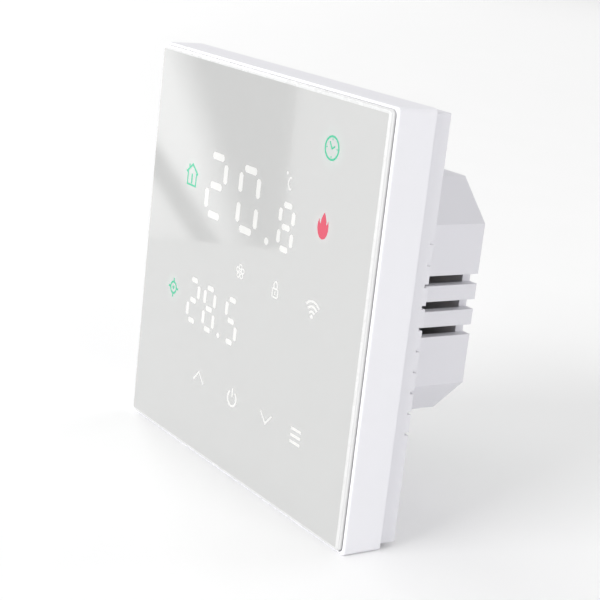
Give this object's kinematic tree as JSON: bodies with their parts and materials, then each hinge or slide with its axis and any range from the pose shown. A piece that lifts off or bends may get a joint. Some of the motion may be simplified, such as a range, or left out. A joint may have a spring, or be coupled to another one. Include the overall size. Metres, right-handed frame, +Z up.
{
  "type": "wall thermostat",
  "caption": "Square touch-screen wall thermostat: glass-fronted display unit that pulls off a flanged base with an octagonal in-wall box, vent slots and screw terminals.",
  "frame": {"origin": "midway between the two wall-screw slots, on the flange face that rests on the wall", "axes": "+Y into the wall, the display faces -Y; +Z up; +X to the right seen from the front"},
  "size_m": [0.086, 0.0402, 0.086],
  "materials": {
    "front_glass": "light grey printed behind clear glass, gloss",
    "tape": "matte foam tape",
    "white_housing": "white, fine satin",
    "white_base": "white, fine satin",
    "mask": "white reflector plastic",
    "film": "frosted film",
    "board": "green solder mask",
    "led": "phosphor",
    "steel": "plated",
    "chip": "black moulded",
    "black_plastic": "black moulded",
    "sensor": "dark epoxy bead",
    "gold": "gold plated",
    "relay": "blue case",
    "ferrite": "sintered",
    "bobbin": "phenolic",
    "winding": "yellow tape",
    "capacitor": "dark sleeve",
    "film_capacitor": "yellow box",
    "varistor": "blue epoxy",
    "resistor": "green cement",
    "terminal": "green moulded",
    "brass": "nickel-free brass",
    "zinc_screw": "zinc plated"
  },
  "bodies": {
    "base": {"rear_casing": "white_base", "power_cover": "white_base", "power_cover_screws": "zinc_screw", "power_board": "board", "socket_body": "black_plastic", "socket_contacts": "gold", "relay": "relay", "transformer_core": "ferrite", "transformer_bobbin": "bobbin", "transformer_winding": "winding", "bulk_capacitors": "capacitor", "film_capacitor": "film_capacitor", "varistor": "varistor", "fuse_resistor": "resistor", "bridge_rectifier": "chip", "power_controller": "chip", "terminal_block": "terminal", "terminal_contacts": "brass"},
    "display_unit": {"front_glass": "front_glass", "glass_adhesive": "tape", "front_housing": "white_housing", "display_mask": "mask", "diffuser_film": "film", "display_board": "board", "display_leds": "led", "touch_springs": "steel", "microcontroller": "chip", "wifi_board": "board", "wifi_shield": "steel", "room_sensor": "sensor", "header_body": "black_plastic", "header_pins": "gold", "inner_cover": "white_base", "inner_cover_screws": "zinc_screw"},
    "terminal_clamp_1": {"terminal_clamp_1": "brass"},
    "terminal_screw_1": {"terminal_screw_1": "zinc_screw"},
    "terminal_clamp_2": {"terminal_clamp_2": "brass"},
    "terminal_screw_2": {"terminal_screw_2": "zinc_screw"},
    "terminal_clamp_3": {"terminal_clamp_3": "brass"},
    "terminal_screw_3": {"terminal_screw_3": "zinc_screw"},
    "terminal_clamp_4": {"terminal_clamp_4": "brass"},
    "terminal_screw_4": {"terminal_screw_4": "zinc_screw"},
    "terminal_clamp_5": {"terminal_clamp_5": "brass"},
    "terminal_screw_5": {"terminal_screw_5": "zinc_screw"},
    "terminal_clamp_6": {"terminal_clamp_6": "brass"},
    "terminal_screw_6": {"terminal_screw_6": "zinc_screw"}
  },
  "joints": [
    {"name": "display_unit_pull", "type": "slide", "parent": "base", "child": "display_unit", "axis": [0, -1, 0], "range_m": [0, 0.02]},
    {"name": "screw_1_turn", "type": "hinge", "parent": "base", "child": "terminal_screw_1", "pos_m": [-0.0127, 0.0235, -0.0184], "axis": [0, -1, 0], "range_deg": [0, 2160]},
    {"name": "clamp_1_rise", "type": "slide", "parent": "base", "child": "terminal_clamp_1", "axis": [0, 1, 0], "range_m": [0, 0.003]},
    {"name": "screw_2_turn", "type": "hinge", "parent": "base", "child": "terminal_screw_2", "pos_m": [-0.00762, 0.0235, -0.0184], "axis": [0, -1, 0], "range_deg": [0, 2160]},
    {"name": "clamp_2_rise", "type": "slide", "parent": "base", "child": "terminal_clamp_2", "axis": [0, 1, 0], "range_m": [0, 0.003]},
    {"name": "screw_3_turn", "type": "hinge", "parent": "base", "child": "terminal_screw_3", "pos_m": [-0.00254, 0.0235, -0.0184], "axis": [0, -1, 0], "range_deg": [0, 2160]},
    {"name": "clamp_3_rise", "type": "slide", "parent": "base", "child": "terminal_clamp_3", "axis": [0, 1, 0], "range_m": [0, 0.003]},
    {"name": "screw_4_turn", "type": "hinge", "parent": "base", "child": "terminal_screw_4", "pos_m": [0.00254, 0.0235, -0.0184], "axis": [0, -1, 0], "range_deg": [0, 2160]},
    {"name": "clamp_4_rise", "type": "slide", "parent": "base", "child": "terminal_clamp_4", "axis": [0, 1, 0], "range_m": [0, 0.003]},
    {"name": "screw_5_turn", "type": "hinge", "parent": "base", "child": "terminal_screw_5", "pos_m": [0.00762, 0.0235, -0.0184], "axis": [0, -1, 0], "range_deg": [0, 2160]},
    {"name": "clamp_5_rise", "type": "slide", "parent": "base", "child": "terminal_clamp_5", "axis": [0, 1, 0], "range_m": [0, 0.003]},
    {"name": "screw_6_turn", "type": "hinge", "parent": "base", "child": "terminal_screw_6", "pos_m": [0.0127, 0.0235, -0.0184], "axis": [0, -1, 0], "range_deg": [0, 2160]},
    {"name": "clamp_6_rise", "type": "slide", "parent": "base", "child": "terminal_clamp_6", "axis": [0, 1, 0], "range_m": [0, 0.003]}
  ],
  "couplings": [
    {"joint": "screw_1_turn", "follows": "clamp_1_rise", "rad_per_m": 12566},
    {"joint": "screw_2_turn", "follows": "clamp_2_rise", "rad_per_m": 12566},
    {"joint": "screw_3_turn", "follows": "clamp_3_rise", "rad_per_m": 12566},
    {"joint": "screw_4_turn", "follows": "clamp_4_rise", "rad_per_m": 12566},
    {"joint": "screw_5_turn", "follows": "clamp_5_rise", "rad_per_m": 12566},
    {"joint": "screw_6_turn", "follows": "clamp_6_rise", "rad_per_m": 12566}
  ]
}
